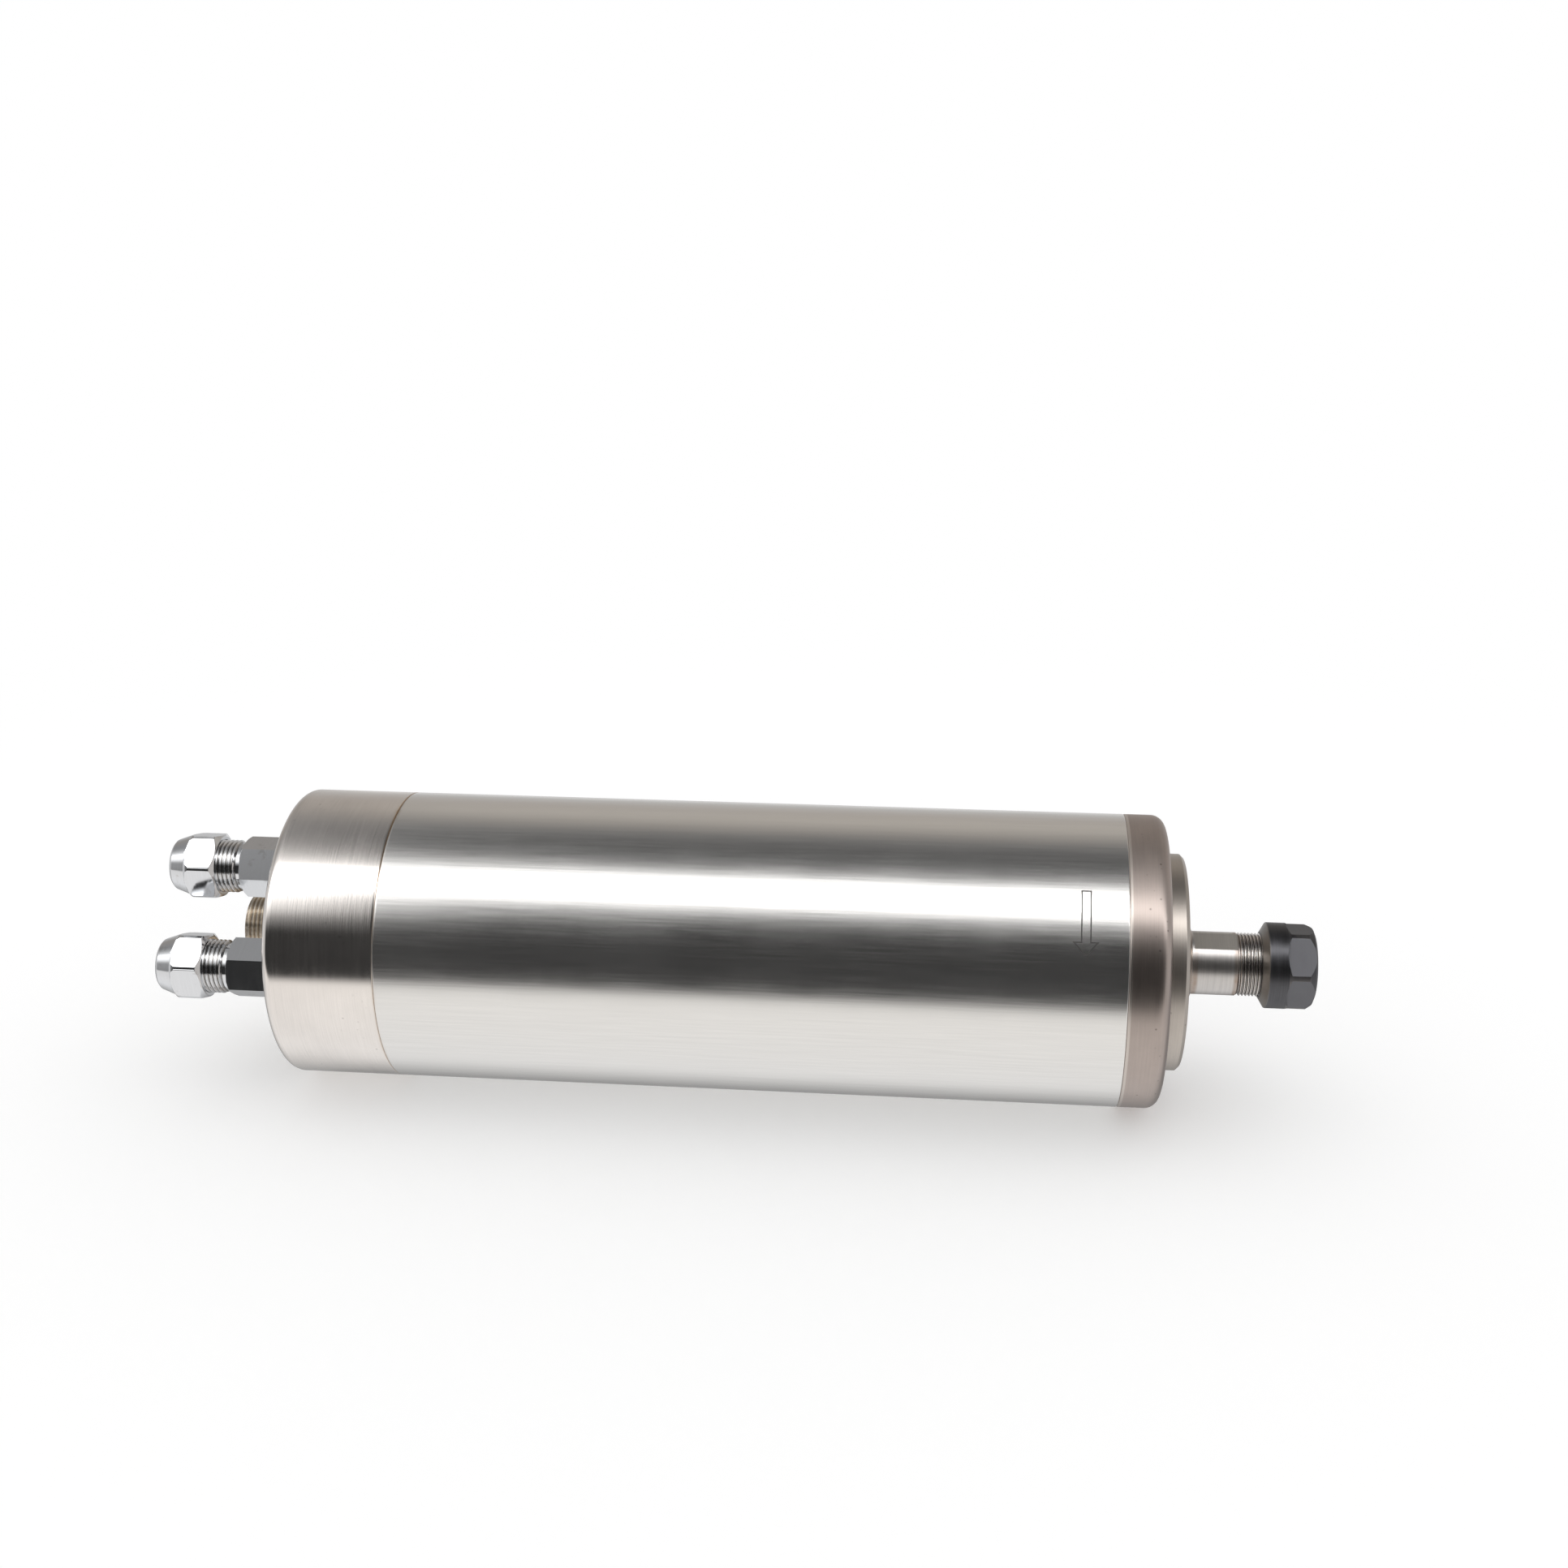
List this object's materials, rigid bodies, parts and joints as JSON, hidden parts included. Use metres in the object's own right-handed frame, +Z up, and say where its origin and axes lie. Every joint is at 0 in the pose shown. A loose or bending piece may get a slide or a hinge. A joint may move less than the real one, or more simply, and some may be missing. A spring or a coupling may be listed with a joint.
{
  "type": "motor spindle",
  "caption": "Water-cooled motor spindle with a collet nose, hose fittings and a round power connector.",
  "frame": {"origin": "on the shaft axis, at the middle of the outer tube's length", "axes": "+X along the shaft to the collet nose, +Z up and away from what it lies on, +Y to the right when seen from behind"},
  "size_m": [0.2568, 0.065, 0.065],
  "materials": {
    "tube_steel": "polished along its length",
    "front_cap_metal": "satin, warm nickel tint",
    "rear_cap_metal": "satin, warm nickel tint",
    "jacket_aluminium": "turned",
    "cast_aluminium": "die cast",
    "lamination_steel": "stacked sheet, bluish oxide",
    "enamelled_copper": "enamelled copper wire, varnished",
    "ground_steel": "ground",
    "polished_steel": "polished",
    "bearing_steel": "ground and polished",
    "black_oxide": "black oxide, worn at the edges",
    "screw_steel": "plain",
    "plated_chrome": "mirror plated",
    "nickel_brass": "nickel plated, satin",
    "contact_brass": "gold flashed",
    "ferrule_brass": "turned",
    "seal_rubber": "moulded",
    "insulator_black": "moulded",
    "lead_silicone": "silicone insulation"
  },
  "bodies": {
    "housing": {"outer_tube": "tube_steel", "cooling_jacket": "jacket_aluminium", "jacket_seals": "seal_rubber", "front_cap": "front_cap_metal", "rear_cap": "rear_cap_metal", "rear_cap_screws": "screw_steel", "front_bearing_cover": "front_cap_metal", "cover_screws": "black_oxide", "stator_core": "lamination_steel", "stator_windings": "enamelled_copper", "front_bearing_outer_rings": "bearing_steel", "rear_bearing_outer_ring": "bearing_steel", "connector_gasket": "seal_rubber", "connector_shell": "nickel_brass", "connector_insert": "insulator_black", "connector_pins": "contact_brass", "phase_leads": "lead_silicone", "fitting_body_a": "plated_chrome", "fitting_washer_a": "seal_rubber", "fitting_body_b": "plated_chrome", "fitting_washer_b": "seal_rubber"},
    "rotor": {"shaft": "ground_steel", "rotor_core": "lamination_steel", "rotor_cage": "cast_aluminium", "rear_circlip": "black_oxide", "front_bearing_inner_rings": "bearing_steel", "rear_bearing_inner_ring": "bearing_steel", "dust_ring": "polished_steel"},
    "front_balls": {"front_ball_cages": "bearing_steel"},
    "rear_balls": {"rear_ball_cage": "bearing_steel"},
    "collet": {"collet": "ground_steel"},
    "nut": {"collet_nut": "black_oxide"},
    "ferrule_a": {"ferrule_a": "ferrule_brass"},
    "ferrule_b": {"ferrule_b": "ferrule_brass"},
    "hose_nut_a": {"hose_nut_a": "plated_chrome"},
    "hose_nut_b": {"hose_nut_b": "plated_chrome"}
  },
  "joints": [
    {"name": "shaft_spin", "type": "hinge", "parent": "housing", "child": "rotor", "pos_m": [0, 0, 0], "axis": [1, 0, 0], "continuous": true},
    {"name": "front_ball_orbit", "type": "hinge", "parent": "housing", "child": "front_balls", "pos_m": [0.0805, 0, 0], "axis": [1, 0, 0], "continuous": true},
    {"name": "rear_ball_orbit", "type": "hinge", "parent": "housing", "child": "rear_balls", "pos_m": [-0.0775, 0, 0], "axis": [1, 0, 0], "continuous": true},
    {"name": "collet_release", "type": "slide", "parent": "rotor", "child": "collet", "axis": [1, 0, 0], "range_m": [0, 0.006]},
    {"name": "nut_turn", "type": "hinge", "parent": "collet", "child": "nut", "pos_m": [0.1162, 0, 0], "axis": [1, 0, 0], "range_deg": [0, 2880]},
    {"name": "ferrule_a_release", "type": "slide", "parent": "housing", "child": "ferrule_a", "axis": [-1, 0, 0], "range_m": [0, 0.005]},
    {"name": "hose_nut_a_turn", "type": "hinge", "parent": "ferrule_a", "child": "hose_nut_a", "pos_m": [-0.1283, -0.0044, 0.01642], "axis": [-1, 0, 0], "range_deg": [0, 1800]},
    {"name": "ferrule_b_release", "type": "slide", "parent": "housing", "child": "ferrule_b", "axis": [-1, 0, 0], "range_m": [0, 0.005]},
    {"name": "hose_nut_b_turn", "type": "hinge", "parent": "ferrule_b", "child": "hose_nut_b", "pos_m": [-0.1283, -0.01669, -0.00324], "axis": [-1, 0, 0], "range_deg": [0, 1800]}
  ],
  "couplings": [
    {"joint": "front_ball_orbit", "follows": "shaft_spin", "ratio": 0.3947},
    {"joint": "rear_ball_orbit", "follows": "shaft_spin", "ratio": 0.3825},
    {"joint": "collet_release", "follows": "nut_turn", "m_per_rad": 0.00011937},
    {"joint": "ferrule_a_release", "follows": "hose_nut_a_turn", "m_per_rad": 0.00015915},
    {"joint": "ferrule_b_release", "follows": "hose_nut_b_turn", "m_per_rad": 0.00015915}
  ]
}
